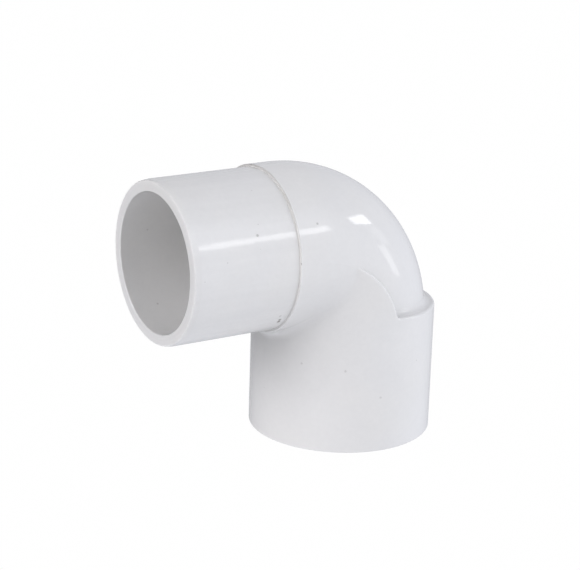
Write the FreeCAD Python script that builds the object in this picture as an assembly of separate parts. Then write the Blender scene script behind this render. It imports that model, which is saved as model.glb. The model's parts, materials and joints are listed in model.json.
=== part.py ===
import FreeCAD, Part
import math
import os

# PVC solvent-weld elbow, 90 degrees, one plain spigot and one socket, moulded as one piece.
# Millimetres. The origin is the centre of the socket's mouth, +Z runs up the socket's axis,
# and the spigot points along -X. The XZ plane is the plane of symmetry.

# Spigot and waterway
SPIGOT_R = 25.0            # outside radius, a 50 mm metric pipe size
SPIGOT_LENGTH = 35.2       # calibrated length, end to shoulder
SPIGOT_END_X = -68.0       # end face of the spigot
SPIGOT_LEAD = 2.0          # axial length of the lead-in cone on the spigot's end
SPIGOT_LEAD_DROP = 0.3     # radial depth of that cone
LEAD_BLEND = 2.0           # rounding where the cone meets the spigot's outside
LEAD_ROUND = 0.5           # rounding where the cone meets the end face
RIM_ROUND = 0.35           # rounding of the bore's edge at the spigot's end
WATERWAY_R = 21.4          # inside radius, constant from the spigot's end to the pipe stop

# Body and bend
AXIS_Z = 61.6              # height of the spigot's axis above the socket's mouth
BODY_R = 25.8              # outside radius of the body and bend, a small step above the spigot
BEND_R = 25.5              # centre-line radius of the bend
SHOULDER_ROUND = 0.25      # rounding of the shoulder's outer edge

# Socket
SOCKET_R = 28.85           # outside radius of the socket
SOCKET_BORE_R = 25.1       # inside radius, for a 50 mm pipe with room for cement
SOCKET_DEPTH = 31.0        # mouth to pipe stop
SOCKET_LEAD = 1.2          # axial length of the entry chamfer
SOCKET_LEAD_RISE = 0.5     # radial depth of the entry chamfer
MOUTH_ROUND = 0.6          # rounding of the mouth's outer edge
STOP_ROUND = 0.6           # rounding of the pipe stop's inner edge

# Top of the socket's wall: a flat ledge behind the bend, then cheeks that follow the bend
LEDGE_Z = 40.9             # height of the ledge at the back of the socket
LEDGE_TILT = 3.2           # degrees by which the ledge rises towards the cheeks
LEDGE_ROUND = 0.8          # rounding of the outer edge of the ledge and the cheeks
LEDGE_FILLET = 2.0         # fillet where the ledge meets the bend
CHEEK_R = 27.2             # radius of the cheeks' top edge, about the bend's centre
CHEEK_CORNER = 1.5         # radius, in side view, where the ledge turns up into a cheek
CREASE_FILLET = 3.5        # fillet where the bend's underside meets the socket

MARGIN = 5.0               # how far tools run past what they cut
TINY = 0.01                # how close counts as on a surface

BEND_X = -BEND_R
BEND_Z = AXIS_Z - BEND_R
SHOULDER_X = SPIGOT_END_X + SPIGOT_LENGTH
BODY_TOP = AXIS_Z + BODY_R

X = FreeCAD.Vector(1, 0, 0)
Y = FreeCAD.Vector(0, 1, 0)
Z = FreeCAD.Vector(0, 0, 1)


def along_x(radius, x_low, x_high):
    """A cylinder on the spigot's axis."""
    return Part.makeCylinder(radius, x_high - x_low, FreeCAD.Vector(x_low, 0, AXIS_Z), X)


def along_z(radius, z_low, z_high):
    """A cylinder on the socket's axis."""
    return Part.makeCylinder(radius, z_high - z_low, FreeCAD.Vector(0, 0, z_low), Z)


def cone(base, axis, r_base, r_far, height):
    """A truncated cone that starts at base and runs along axis."""
    return Part.makeCone(r_base, r_far, height, base, axis)


def quarter_bend(radius):
    """A quarter of a torus, from the spigot's axis round to the socket's axis."""
    disc = Part.Face(Part.Wire(Part.makeCircle(radius, FreeCAD.Vector(BEND_X, 0, AXIS_Z), X)))
    disc.rotate(FreeCAD.Vector(BEND_X, 0, AXIS_Z), X, -90)
    low = FreeCAD.Vector(BEND_X - 1, -2 * radius, BEND_Z)
    outward = disc.common(Part.makeBox(2, 4 * radius, 4 * radius, low))
    return outward.revolve(FreeCAD.Vector(BEND_X, 0, BEND_Z), Y, 90)


def tube(radius, x_start, z_end):
    """A straight run, the quarter bend and a straight run down, as one solid."""
    run = along_x(radius, x_start, BEND_X)
    drop = along_z(radius, z_end, BEND_Z)
    return run.fuse([quarter_bend(radius), drop]).removeSplitter()


def edges_where(shape, wanted):
    """The edges of which every sampled point passes the test."""
    picked = []
    for edge in shape.Edges:
        if edge.Length > TINY:
            if all(wanted(point) for point in edge.discretize(9)):
                picked.append(edge)
    return picked


def on_socket_wall(point):
    """Is the point on the socket's outer wall?"""
    return abs(math.hypot(point.x, point.y) - SOCKET_R) < TINY


def ledge_height(x):
    """Height of the ledge at x."""
    return LEDGE_Z + (SOCKET_R - x) * math.tan(math.radians(LEDGE_TILT))


def side_face():
    """Side view of the socket: below the ledge, below the corner and below the cheek's arc."""
    y = -(SOCKET_R + MARGIN)
    far = SOCKET_R + MARGIN
    bend = FreeCAD.Vector(BEND_X, y, BEND_Z)
    ledge_end = FreeCAD.Vector(far, y, ledge_height(far))
    tilt = math.radians(LEDGE_TILT)
    inward = FreeCAD.Vector(-math.cos(tilt), 0, math.sin(tilt))
    upward = FreeCAD.Vector(math.sin(tilt), 0, math.cos(tilt))
    # The corner's centre is CHEEK_CORNER above the ledge and the same distance outside the arc.
    start = ledge_end + upward * CHEEK_CORNER - bend
    ahead = start.dot(inward)
    beside = start.dot(upward)
    run = -ahead - math.sqrt((CHEEK_R + CHEEK_CORNER) ** 2 - beside ** 2)
    centre = bend + start + inward * run
    to_bend = (bend - centre).normalize()
    ledge_start = centre - upward * CHEEK_CORNER
    corner_middle = centre + (to_bend - upward).normalize() * CHEEK_CORNER
    arc_low = centre + to_bend * CHEEK_CORNER
    arc_top = bend + Z * CHEEK_R
    arc_middle = bend + (Z - to_bend).normalize() * CHEEK_R
    foot_right = FreeCAD.Vector(far, y, -MARGIN)
    foot_left = FreeCAD.Vector(-far, y, -MARGIN)
    top_left = FreeCAD.Vector(-far, y, arc_top.z)
    return Part.Face(Part.Wire([
        Part.makeLine(foot_left, foot_right),
        Part.makeLine(foot_right, ledge_end),
        Part.makeLine(ledge_end, ledge_start),
        Part.Arc(ledge_start, corner_middle, arc_low).toShape(),
        Part.Arc(arc_low, arc_middle, arc_top).toShape(),
        Part.makeLine(arc_top, top_left),
        Part.makeLine(top_left, foot_left),
    ]))


def below_ledge():
    """The space under the ledge's plane, behind the socket's axis."""
    far = SOCKET_R + MARGIN
    corners = [(0, -MARGIN), (far, -MARGIN), (far, ledge_height(far)), (0, ledge_height(0))]
    points = [FreeCAD.Vector(x, -far, z) for x, z in corners]
    return Part.Face(Part.makePolygon(points + points[:1])).extrude(Y * (2 * far))


# Outside of the body and bend, from the shoulder round into the socket.
body = tube(BODY_R, SHOULDER_X, BEND_Z - MARGIN)
shoulder = edges_where(body, lambda p: abs(p.x - SHOULDER_X) < TINY)
body = body.makeFillet(SHOULDER_ROUND, shoulder)

# Outside of the spigot, with a lead-in cone on its end.
lead_end = SPIGOT_END_X + SPIGOT_LEAD
spigot = along_x(SPIGOT_R, lead_end, SHOULDER_X + MARGIN).fuse(cone(
    FreeCAD.Vector(lead_end, 0, AXIS_Z), X * -1, SPIGOT_R, SPIGOT_R - SPIGOT_LEAD_DROP, SPIGOT_LEAD
))
for radius, at_x in ((LEAD_BLEND, lead_end), (LEAD_ROUND, SPIGOT_END_X)):
    spigot = spigot.makeFillet(radius, edges_where(spigot, lambda p: abs(p.x - at_x) < TINY))

# Outside of the socket. It first runs up past the bend, so that the crease between the two is one
# closed loop that takes a fillet, and is then cut back to its side view.
top = BODY_TOP + 4 * MARGIN
tall = body.fuse(along_z(SOCKET_R, 0, top)).removeSplitter()
crease = edges_where(tall, lambda p: on_socket_wall(p) and p.x < 0 and TINY < p.z < top - TINY)
tall = tall.makeFillet(CREASE_FILLET, crease)
side = side_face().extrude(Y * (2 * (SOCKET_R + MARGIN)))
socket = tall.common(side)


def on_top_edge(p):
    """Is the point on the outer edge of the ledge or of a cheek?"""
    rho = math.hypot(p.x - BEND_X, p.z - BEND_Z)
    on_cheek = abs(rho - CHEEK_R) < TINY and p.x > BEND_X - TINY and abs(p.y) > BODY_R / 2
    low = ledge_height(p.x) - TINY
    return on_cheek or (on_socket_wall(p) and low < p.z < low + CHEEK_CORNER + TINY)


top_edge = edges_where(socket, on_top_edge)
socket = socket.makeFillet(LEDGE_ROUND, top_edge)
mouth_edge = edges_where(socket, lambda p: on_socket_wall(p) and abs(p.z) < TINY)
socket = socket.makeFillet(MOUTH_ROUND, mouth_edge)

outer = socket.fuse([body, spigot]).removeSplitter()

# Fillet between the ledge and the back of the bend, as a separate sliver of material.
behind = Part.makeBox(
    2 * SOCKET_R, 4 * SOCKET_R, BODY_TOP, FreeCAD.Vector(0, -2 * SOCKET_R, LEDGE_Z - MARGIN)
)
plain = body.common(behind).fuse(along_z(SOCKET_R, 0, BODY_TOP).common(below_ledge()))
plain = plain.removeSplitter()
foot = edges_where(
    plain, lambda p: abs(p.z - ledge_height(p.x)) < TINY and not on_socket_wall(p)
)
sliver = plain.makeFillet(LEDGE_FILLET, foot).cut(plain)
outer = outer.fuse(sliver).removeSplitter()

# Inside: the waterway, the socket's bore with its entry chamfer, and the pipe stop between them.
waterway = tube(WATERWAY_R, SPIGOT_END_X - MARGIN, SOCKET_DEPTH - MARGIN)
bore = along_z(SOCKET_BORE_R, -MARGIN, SOCKET_DEPTH)
entry = cone(FreeCAD.Vector(0, 0, 0), Z, SOCKET_BORE_R + SOCKET_LEAD_RISE, SOCKET_BORE_R, SOCKET_LEAD)
elbow = outer.cut(waterway.fuse([bore, entry])).removeSplitter()

# The waterway's edges are rounded at the pipe stop and at the spigot's end.
stop_edge = edges_where(
    elbow, lambda p: abs(p.z - SOCKET_DEPTH) < TINY and math.hypot(p.x, p.y) < WATERWAY_R + TINY
)
elbow = elbow.makeFillet(STOP_ROUND, stop_edge)
rim_edge = edges_where(
    elbow,
    lambda p: abs(p.x - SPIGOT_END_X) < TINY and math.hypot(p.y, p.z - AXIS_Z) < WATERWAY_R + TINY,
)
elbow = elbow.makeFillet(RIM_ROUND, rim_edge)

os.makedirs("parts", exist_ok=True)
elbow.Solids[0].exportStep("parts/elbow_body.step")
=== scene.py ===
import json
import math
import bpy
from mathutils import Matrix, Vector


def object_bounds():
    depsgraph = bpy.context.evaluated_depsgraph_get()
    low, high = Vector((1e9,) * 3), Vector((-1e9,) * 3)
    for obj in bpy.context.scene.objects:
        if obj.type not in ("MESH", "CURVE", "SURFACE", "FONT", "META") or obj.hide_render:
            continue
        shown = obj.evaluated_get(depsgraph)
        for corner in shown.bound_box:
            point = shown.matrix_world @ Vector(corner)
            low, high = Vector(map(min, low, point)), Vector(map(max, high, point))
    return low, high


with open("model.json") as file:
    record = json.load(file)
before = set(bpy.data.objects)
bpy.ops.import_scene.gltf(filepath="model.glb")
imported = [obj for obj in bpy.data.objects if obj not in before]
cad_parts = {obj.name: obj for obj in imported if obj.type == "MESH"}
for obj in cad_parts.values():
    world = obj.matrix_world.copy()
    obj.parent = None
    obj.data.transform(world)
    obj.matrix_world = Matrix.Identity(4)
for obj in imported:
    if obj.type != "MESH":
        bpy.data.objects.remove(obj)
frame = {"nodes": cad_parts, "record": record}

CAD_LOW, CAD_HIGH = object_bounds()

ELBOW = "elbow_body"

# ---- Camera: where it stands in the part's frame (metres), and which way it looks
CAM_POS = Vector((-0.32582, -0.47289, 0.22464))
CAM_RIGHT = Vector((0.84439, -0.53491, 0.02959))
CAM_UP = Vector((0.13628, 0.26788, 0.95376))
CAM_LENS = 118.43
CAM_SENSOR = 36.0
CAM_NEAR = 0.01
CAM_FAR = 50.0

# ---- Light. A soft light is a wide glow in the sky around the part:
#      direction it comes from, how tightly it is gathered, strength, colour
SOFT_LIGHTS = {
    "window_wall": ((-0.89, -0.08, 0.45), 17.0, 6.6, (1.0, 0.99, 1.02)),
    "backdrop_glow": ((0.52, 0.84, 0.12), 12.0, 0.3, (1.0, 1.0, 1.03)),
    "front_ceiling": ((0.31, -0.68, 0.66), 17.0, 1.22, (0.95, 0.99, 1.06)),
    "back_wall": ((0.79, 0.36, 0.49), 3.9, 0.7, (0.97, 0.98, 1.06)),
    "table_behind": ((0.0, 0.41, -0.91), 3.7, 1.0, (0.97, 0.99, 1.05)),
    "table_left": ((-0.65, -0.49, -0.58), 4.7, 0.62, (0.97, 0.98, 1.06)),
    "front_low": ((-0.3, -0.9, -0.3), 4.0, 0.22, (1.05, 1.01, 0.93)),
    "right_side": ((0.78, -0.62, -0.12), 3.2, 1.38, (0.96, 0.98, 1.06)),
}
# A panel is a crisp rectangle that shows as a highlight. Centre, aim, width and height are in
# metres, roll is in degrees, and the last number is its glow
PANELS = {
    "long_panel": ((0.676, -1.149, 0.722), (-0.040, -0.023, 0.072), 0.505, 0.165, 0.0, 3.4),
    "square_panel": ((1.251, -0.462, 0.710), (-0.010, -0.021, 0.073), 0.42, 0.17, -12.0, 5.0),
    "faint_panel": ((1.42, -0.43, 0.44), (0.0, -0.022, 0.068), 0.28, 0.28, 0.0, 0.60),
    "low_panel": ((1.356, -0.628, 0.125), (0.0, -0.024, 0.060), 0.208, 0.340, 0.0, 1.5),
}
BACKDROP = (1.0, 1.0, 1.0)      # what the camera sees behind the part

# ---- Floor (metres)
FLOOR_REACH = 3.0
FLOOR_DROP = 0.0002
FLOOR_TONE = (0.998, 0.998, 0.998)

# ---- Where the elbow's features are, in millimetres in its own frame
MM_PER_METRE = 1000.0
MM = 1 / MM_PER_METRE
SPIGOT = next(mount for mount in frame["record"]["mounts"] if mount["name"] == "spigot")
SPIGOT_R = SPIGOT["dims"]["r_mm"]
SPIGOT_END_X = CAD_LOW[0] * MM_PER_METRE
SPIGOT_MIDDLE_X = SPIGOT["pos_m"][0] * MM_PER_METRE
SHOULDER_X = SPIGOT_MIDDLE_X + SPIGOT["dims"]["length_mm"] / 2
AXIS_Z = SPIGOT["pos_m"][2] * MM_PER_METRE
BEND_R = 25.5                   # centre-line radius of the bend
BODY_R = 25.8                   # outside radius of the bend
SOCKET_DEPTH = 31.0
WALL_MIDDLE = 23.3              # radius between the waterway and the outside
SOCKET_WALL_MIDDLE = 27.0       # radius between the socket's bore and its outside
WALL_BLUR = 0.2                 # half width of the change from inside to outside
LINE_BLUR = 0.1                 # half width of the change across the shoulder or the pipe stop
RIM_EDGE = (SPIGOT_END_X + 0.3, SPIGOT_END_X + 0.05)    # where its look ends, where it is full

# ---- Noise: size of its lumps in millimetres, detail, seed
NOISES = {
    "mottle": (13.0, 3.0, 1.0),
    "fine": (1.3, 2.0, 2.0),
    "drawn": (2.2, 2.0, 15.0),
    "aged": (26.0, 2.0, 3.0),
    "worn": (4.0, 3.0, 4.0),
    "scratches": (0.30, 1.0, 5.0),
    "rubs": (0.8, 3.0, 7.0),
    "step_edge": (1.5, 2.0, 8.0),
    "step_patchiness": (5.0, 2.0, 9.0),
    "mark_edge": (0.4, 2.0, 10.0),
    "dullness": (5.0, 4.0, 11.0),
    "ripple": (9.0, 1.0, 12.0),
    "grain": (0.5, 2.0, 13.0),
    "dimples": (1.5, 2.0, 14.0),
}
NOISE_MIDDLE = 0.5

# ---- Tone of the white PVC, and painted shade on its end face and inside
PVC_TONE = (0.80, 0.795, 0.785)
PVC_IOR = 1.53
MOTTLE = 0.035                  # swing of the large soft blotches
FINE = 0.025                    # swing of the small uneven tone
DRAWN = 0.03                    # swing of the faint bands along the spigot
DRAWN_STRETCH = 0.04            # how much the noise is squeezed along the spigot
AGED = (0.80, 0.785, 0.745)     # slightly yellowed patches
AGED_NOISE = (0.4, 0.7)         # where in its noise a patch starts, and where it is full
AGED_SHARE = 0.25
# painted shade: the spigot's end face is made darker
RIM_SHADE = 0.95
# painted shade: the waterway and the socket's bore are made darker
INSIDE_SHADE = 0.98

# ---- Edges rubbed paler and duller, in patches
WORN_TONE = (0.90, 0.895, 0.885)
WORN_REACH = 1.1                # how far from an edge wear is felt, in millimetres
WORN_SOLID = (0.93, 0.55)       # share of plastic under the skin: where wear starts, where it is full
WORN_NOISE = (0.35, 0.6)        # where in its noise a patch starts, and where it is full
WORN_SHARE = (0.35, 0.8)        # wear between the patches and in them
WORN_SAMPLES = 8

# ---- Scuffs: short scratches anywhere, and long faint rubs along the spigot
SCRATCH_WIDTH = NOISES["scratches"][0]
SCRATCH_LENGTH = 7.0
SCRATCH_TURN = (0.5, 0.9, 0.7)  # radians
SCRATCH_NOISE = (0.83, 0.92)    # where in its noise a scratch starts, and where it is full
SCRATCH_GRIME = 0.3             # how much of the grime's tone a scratch takes
RUB_NOISE = (0.56, 0.68)

# ---- Dirt, and painted shade in the step between spigot and body. Lengths are in millimetres
# dark tone: dirt in scratches, and dirt plus painted shade in the step
GRIME_AND_SHADE = (0.42, 0.405, 0.375)
STEP_LINE_X = SHOULDER_X - 0.1
STEP_LINE = (0.525, 0.252)      # distance from the line: where the dark line ends, where it is full
STEP_WANDER = 0.2               # how much that distance varies
STEP_FOOT = (SPIGOT_R - 0.05, SPIGOT_R + 0.25)  # radius where the dark line starts, where it is full
STEP_TOP = (BODY_R + 0.15, BODY_R + 0.02)       # radius where the dark line ends, where it is full
STEP_GRIME_AND_SHADE = 0.55               # how much of the dark tone the step takes: dirt and painted shade
STEP_PATCHES = (0.75, 1.2)      # swing of the dark line along the step
STEP_RISE = (AXIS_Z, AXIS_Z + 20.0)             # heights between which it thickens
STEP_LOW_SHARE = 0.15           # how much of it the lower half of the step has

# ---- Specks and marks, in millimetres
SPECK_TONE = (0.16, 0.14, 0.12)
SPECK_SPACING = 6.0
SPECK_R = 0.17
SPECK_SHARE = 0.5
SPECK_CORE = 0.5                # part of a speck's radius that is full
MARK_EDGE = (1.2, 0.5)          # in radii: where a mark ends, where it is full
MARK_RAGGED = 0.5               # how much a mark's outline varies
# A mark is a small stain or pit: where it is, its radius, how strong
MARKS = {
    "brown_chip": ((-35.0, -17.4, 43.7), 0.62, 0.95),
    "chip_top": ((-35.1, -18.3, 44.5), 0.52, 0.90),
    "chip_trail": ((-35.9, -19.7, 46.2), 0.50, 0.30),
    "upper_pit": ((-46.1, -22.2, 73.1), 0.50, 0.42),
    "bend_pit": ((-25.7, -22.5, 74.2), 0.40, 0.40),
    "step_pit": ((-33.0, -25.5, 63.5), 0.40, 0.55),
    "waterway_spot": ((-59.7, 12.6, 44.3), 0.38, 0.35),
    "waterway_fleck": ((-58.8, 21.0, 65.5), 0.30, 0.30),
    "socket_pit": ((-15.0, -24.7, 26.8), 0.42, 0.20),
    "socket_fleck": ((-4.2, -28.5, 17.7), 0.42, 0.18),
    "crease_pit": ((-24.7, -15.0, 27.9), 0.42, 0.20),
}

# ---- Roughness: of the best skin, of its uneven patches, and what each region or flaw adds
GLOSS = 0.055
DULL_NOISE = 0.06
DULLER = {
    "spigot": 0.015,
    "inside": 0.12,
    "rim": 0.22,
    "worn": 0.15,
    "step": 0.40,
    "rubs": 0.10,
    "scratches": 0.15,
    "marks": 0.30,
}

# ---- Relief of the skin, in millimetres
RIPPLE = 0.012                  # slow unevenness of the moulded skin
GRAIN = 0.0012
DIMPLES = 0.05                  # small dents on the handled spigot
SCRATCH_DEPTH = 0.004
RUB_DEPTH = 0.0008
MARK_DEPTH = 0.05


class Shader:
    """Short calls for a node tree. An input is a number, a colour, a vector or another node's output."""

    def __init__(self, owner):
        owner.use_nodes = True
        self.tree = owner.node_tree
        self.tree.nodes.clear()

    def node(self, kind, inputs=None, **settings):
        made = self.tree.nodes.new("ShaderNode" + kind)
        for name, value in settings.items():
            setattr(made, name, value)
        for key, value in (inputs or {}).items():
            if isinstance(value, bpy.types.NodeSocket):
                self.tree.links.new(value, made.inputs[key])
            else:
                made.inputs[key].default_value = value
        return made

    def math(self, operation, a, b=0.0):
        return self.node("Math", {0: a, 1: b}, operation=operation).outputs[0]

    def add(self, a, b):
        return self.math("ADD", a, b)

    def less(self, a, b):
        return self.math("SUBTRACT", a, b)

    def times(self, a, b):
        """A product. For two masks, it is where both are on."""
        return self.math("MULTIPLY", a, b)

    def larger(self, a, b):
        return self.math("MAXIMUM", a, b)

    def vector(self, operation, a, b=(0.0, 0.0, 0.0)):
        return self.node("VectorMath", {0: a, 1: b}, operation=operation).outputs[0]

    def scaled(self, vector, factor):
        return self.node("VectorMath", {0: vector, "Scale": factor}, operation="SCALE").outputs[0]

    def measure(self, operation, a, b=(0.0, 0.0, 0.0)):
        """A number worked out from vectors."""
        return self.node("VectorMath", {0: a, 1: b}, operation=operation).outputs["Value"]

    def length(self, a, b):
        """The length of the hypotenuse over a and b."""
        return self.measure("LENGTH", self.node("CombineXYZ", {0: a, 1: b}).outputs[0])

    def fade(self, value, ends):
        """0 where value is at the first end, 1 at the second, smooth between. The second may be lower."""
        settings = {"Value": value, "From Min": ends[0], "From Max": ends[1]}
        return self.node("MapRange", settings, interpolation_type="SMOOTHSTEP").outputs["Result"]

    def between(self, amount, off, on):
        """From off to on as amount goes from 0 to 1."""
        settings = {"Value": amount, "To Min": off, "To Max": on}
        return self.node("MapRange", settings, clamp=False).outputs["Result"]

    def noise(self, at, name):
        """Noise between 0 and 1, about NOISE_MIDDLE."""
        size, detail, seed = NOISES[name]
        settings = {"Vector": at, "W": seed, "Scale": 1 / size, "Detail": detail}
        return self.node("TexNoise", settings, noise_dimensions="4D").outputs[0]

    def swing(self, noise, amount):
        """Turns noise into a factor that swings about 1."""
        return self.between(noise, 1 - amount, 1 + amount)

    def wobble(self, noise, span):
        """Turns noise into a length that swings about 0."""
        return self.times(self.less(noise, NOISE_MIDDLE), span)

    def total(self, start, shares):
        """Start, plus each value times its amount."""
        for value, amount in shares:
            start = self.add(start, self.times(value, amount))
        return start

    def tinted(self, colour, amount, tone):
        """The colour, taken towards tone by amount."""
        return self.node("Mix", {0: amount, 6: colour, 7: opaque(tone)}, data_type="RGBA").outputs[2]


def opaque(tone):
    return (*tone, 1.0)


def around(middle, half_width):
    """The ends of a fade that is 0 above middle and 1 below it."""
    return middle + half_width, middle - half_width


def link(obj):
    bpy.context.scene.collection.objects.link(obj)
    return obj


def place(obj, right, up, back, spot):
    """Stands obj at spot with its own X, Y and Z along right, up and back."""
    obj.matrix_world = Matrix((
        (right.x, up.x, back.x, spot.x),
        (right.y, up.y, back.y, spot.y),
        (right.z, up.z, back.z, spot.z),
        (0, 0, 0, 1),
    ))


def make_camera():
    lens = bpy.data.cameras.new("camera")
    lens.sensor_width = CAM_SENSOR
    lens.lens = CAM_LENS
    lens.clip_start = CAM_NEAR
    lens.clip_end = CAM_FAR
    camera = link(bpy.data.objects.new("camera", lens))
    right = CAM_RIGHT.normalized()
    back = right.cross(CAM_UP).normalized()
    place(camera, right, back.cross(right), back, CAM_POS)
    bpy.context.scene.camera = camera


def make_world():
    """Soft lights fill the sky for the part. The camera sees a plain white backdrop instead."""
    world = bpy.data.worlds.new("studio")
    bpy.context.scene.world = world
    g = Shader(world)
    ray = g.node("TexCoord").outputs["Generated"]
    sky = (0.0, 0.0, 0.0)
    for toward, gathered, strength, colour in SOFT_LIGHTS.values():
        facing = g.measure("DOT_PRODUCT", ray, Vector(toward).normalized())
        fall = g.times(g.less(facing, 1.0), gathered)
        glow = g.times(g.math("EXPONENT", fall), strength)
        sky = g.vector("ADD", sky, g.scaled(colour, glow))
    lit = g.node("Background", {"Color": sky})
    seen = g.node("Background", {"Color": opaque(BACKDROP)})
    by_camera = g.node("LightPath").outputs["Is Camera Ray"]
    mix = g.node("MixShader", {0: by_camera, 1: lit.outputs[0], 2: seen.outputs[0]})
    g.node("OutputWorld", {0: mix.outputs[0]})


def make_panels():
    for name, (centre, aim, width, height, roll, glow) in PANELS.items():
        lamp = bpy.data.lights.new(name, "AREA")
        lamp.shape = "RECTANGLE"
        lamp.size = width
        lamp.size_y = height
        lamp.energy = glow * math.pi * width * height
        panel = link(bpy.data.objects.new(name, lamp))
        back = (Vector(centre) - Vector(aim)).normalized()
        level = Vector((0, 0, 1)).cross(back).normalized()
        right = Matrix.Rotation(math.radians(roll), 3, back) @ level
        place(panel, right, back.cross(right), back, Vector(centre))


def make_floor():
    """A plain pale floor under the part. It gives the part no light and is clear from below."""
    r = FLOOR_REACH
    mesh = bpy.data.meshes.new("floor")
    mesh.from_pydata([(-r, -r, 0), (r, -r, 0), (r, r, 0), (-r, r, 0)], [], [(0, 1, 2, 3)])
    floor = link(bpy.data.objects.new("floor", mesh))
    floor.location.z = CAD_LOW[2] - FLOOR_DROP
    floor.visible_diffuse = False
    floor.visible_glossy = False
    floor.visible_transmission = False
    floor.visible_shadow = False
    material = bpy.data.materials.new("floor")
    g = Shader(material)
    pale = g.node("Emission", {"Color": opaque(FLOOR_TONE)})
    clear = g.node("BsdfTransparent")
    from_below = g.node("NewGeometry").outputs["Backfacing"]
    mix = g.node("MixShader", {0: from_below, 1: pale.outputs[0], 2: clear.outputs[0]})
    g.node("OutputMaterial", {0: mix.outputs[0]})
    mesh.materials.append(material)


def distance_from_centre_line(g, x, y, z):
    """How far a point is from the line through the middle of the waterway, bend included."""
    across = g.larger(g.add(x, BEND_R), 0.0)
    above = g.larger(g.less(z, AXIS_Z - BEND_R), 0.0)
    sweep = g.less(g.length(across, above), BEND_R)
    return g.length(y, sweep)


def find_places(g, spot):
    """Where a point is in millimetres, and masks that are 1 on a region of the part and 0 elsewhere."""
    axes = g.node("SeparateXYZ", {0: spot}).outputs
    x, y, z = axes[0], axes[1], axes[2]
    reach = distance_from_centre_line(g, x, y, z)
    waterway = g.fade(reach, around(WALL_MIDDLE, WALL_BLUR))
    in_socket_wall = g.fade(g.length(x, y), around(SOCKET_WALL_MIDDLE, WALL_BLUR))
    socket = g.times(in_socket_wall, g.fade(z, around(SOCKET_DEPTH, LINE_BLUR)))
    inside = g.larger(waterway, socket)
    outside = g.less(1.0, inside)
    return {
        "x": x,
        "z": z,
        "reach": reach,
        "inside": inside,
        "outside": outside,
        "spigot": g.times(outside, g.fade(x, around(SHOULDER_X, LINE_BLUR))),
        "rim": g.fade(x, RIM_EDGE),
    }


def find_worn_edges(g, spot, at):
    """Outer edges that are rubbed, in patches."""
    solid = g.node("AmbientOcclusion", {"Distance": WORN_REACH * MM}, inside=True, samples=WORN_SAMPLES)
    edge = g.fade(solid.outputs["AO"], WORN_SOLID)
    patches = g.fade(g.noise(spot, "worn"), WORN_NOISE)
    return g.times(g.times(edge, at["outside"]), g.between(patches, *WORN_SHARE))


def find_scratches(g, spot):
    """A few short scratches, at a slant to the part."""
    turned = g.node("VectorRotate", {"Vector": spot, "Rotation": SCRATCH_TURN}, rotation_type="EULER_XYZ")
    hairline = g.vector("MULTIPLY", turned.outputs[0], (SCRATCH_WIDTH / SCRATCH_LENGTH, 1.0, 1.0))
    return g.fade(g.noise(hairline, "scratches"), SCRATCH_NOISE)


def find_step_dirt_and_shade(g, spot, at):
    """A dark line round the step between spigot and body, heaviest at the top: partly dirt, partly
    painted shade in the step's corner.
    """
    to_line = g.math("ABSOLUTE", g.less(at["x"], STEP_LINE_X))
    wander = g.wobble(g.noise(spot, "step_edge"), STEP_WANDER)
    line = g.fade(g.add(to_line, wander), STEP_LINE)
    line = g.times(line, g.fade(at["reach"], STEP_FOOT))
    line = g.times(line, g.fade(at["reach"], STEP_TOP))
    packed = g.between(g.noise(spot, "step_patchiness"), *STEP_PATCHES)
    packed = g.times(packed, g.between(g.fade(at["z"], STEP_RISE), STEP_LOW_SHARE, 1.0))
    return g.times(g.times(line, packed), STEP_GRIME_AND_SHADE)


def find_marks(g, spot):
    """Specks strewn at random, and the named marks."""
    cell = g.node("TexVoronoi", {"Vector": spot, "Scale": 1 / SPECK_SPACING})
    edge = SPECK_R / SPECK_SPACING
    found = g.times(g.fade(cell.outputs["Distance"], (edge, edge * SPECK_CORE)), SPECK_SHARE)
    ragged = g.wobble(g.noise(spot, "mark_edge"), MARK_RAGGED)
    for centre, radius, strength in MARKS.values():
        away = g.add(g.measure("DISTANCE", spot, centre), ragged)
        mark = g.fade(away, (radius * MARK_EDGE[0], radius * MARK_EDGE[1]))
        found = g.larger(found, g.times(mark, strength))
    return found


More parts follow.
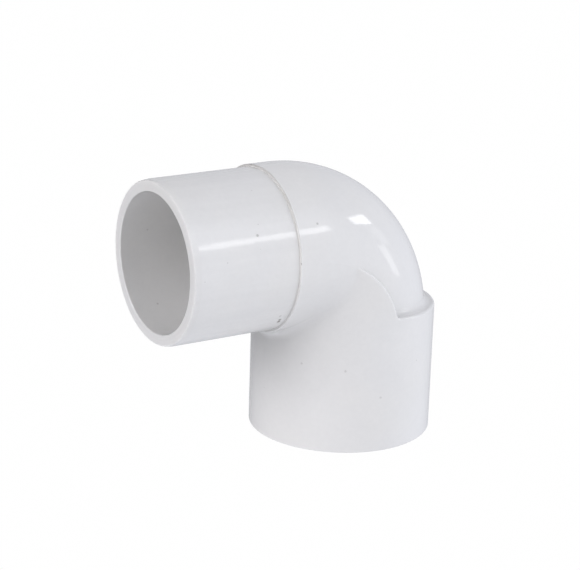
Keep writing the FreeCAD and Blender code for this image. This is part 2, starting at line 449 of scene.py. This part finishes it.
def moulding_colour_and_shade(g, spot, drawn, at):
    """The colour of the moulding before wear and dirt, with painted shade on the spigot's end face and
    inside.
    """
    bands = g.between(at["spigot"], NOISE_MIDDLE, g.noise(drawn, "drawn"))
    tone = g.swing(g.noise(spot, "mottle"), MOTTLE)
    tone = g.times(tone, g.swing(g.noise(spot, "fine"), FINE))
    # painted shade: the spigot's end face darker
    tone = g.times(tone, g.between(at["rim"], 1.0, RIM_SHADE))
    # painted shade: the waterway and the socket's bore darker
    tone = g.times(tone, g.between(at["inside"], 1.0, INSIDE_SHADE))
    tone = g.times(tone, g.swing(bands, DRAWN))
    aged = g.times(g.fade(g.noise(spot, "aged"), AGED_NOISE), AGED_SHARE)
    return g.scaled(g.tinted(opaque(PVC_TONE), aged, AGED), tone)


def pvc_material():
    """White PVC with a moulded skin: mottled, specked, scuffed, worn on its edges, with dirt and painted
    shade in its step, and painted shade on its end face and inside.
    """
    material = bpy.data.materials.new("pvc_white")
    g = Shader(material)
    spot = g.scaled(g.node("TexCoord").outputs["Object"], MM_PER_METRE)
    drawn = g.vector("MULTIPLY", spot, (DRAWN_STRETCH, 1.0, 1.0))
    at = find_places(g, spot)
    at["worn"] = find_worn_edges(g, spot, at)
    at["scratches"] = find_scratches(g, spot)
    at["rubs"] = g.times(at["spigot"], g.fade(g.noise(drawn, "rubs"), RUB_NOISE))
    at["step"] = find_step_dirt_and_shade(g, spot, at)
    at["marks"] = find_marks(g, spot)

    colour = moulding_colour_and_shade(g, spot, drawn, at)
    colour = g.tinted(colour, at["worn"], WORN_TONE)
    colour = g.tinted(colour, g.times(at["scratches"], SCRATCH_GRIME), GRIME_AND_SHADE)
    # dirt and painted shade in the step's corner
    colour = g.tinted(colour, at["step"], GRIME_AND_SHADE)
    colour = g.tinted(colour, at["marks"], SPECK_TONE)

    dull_patches = g.times(g.noise(spot, "dullness"), DULL_NOISE)
    rough = g.total(g.add(GLOSS, dull_patches), [(at[name], extra) for name, extra in DULLER.items()])

    relief = g.total(0.0, (
        (g.noise(spot, "ripple"), RIPPLE),
        (g.noise(spot, "grain"), GRAIN),
        (g.times(at["spigot"], g.noise(spot, "dimples")), DIMPLES),
        (at["scratches"], -SCRATCH_DEPTH),
        (at["rubs"], -RUB_DEPTH),
        (at["marks"], -MARK_DEPTH),
    ))
    bump = g.node("Bump", {"Height": relief, "Distance": MM, "Strength": 1.0})

    skin = g.node("BsdfPrincipled", {
        "Base Color": colour,
        "Roughness": rough,
        "IOR": PVC_IOR,
        "Normal": bump.outputs[0],
    })
    g.node("OutputMaterial", {0: skin.outputs[0]})
    return material


make_camera()
make_world()
make_panels()
make_floor()
bpy.context.scene.view_settings.view_transform = "Standard"

elbow = frame["nodes"][ELBOW]
elbow.data.materials.clear()
elbow.data.materials.append(pvc_material())
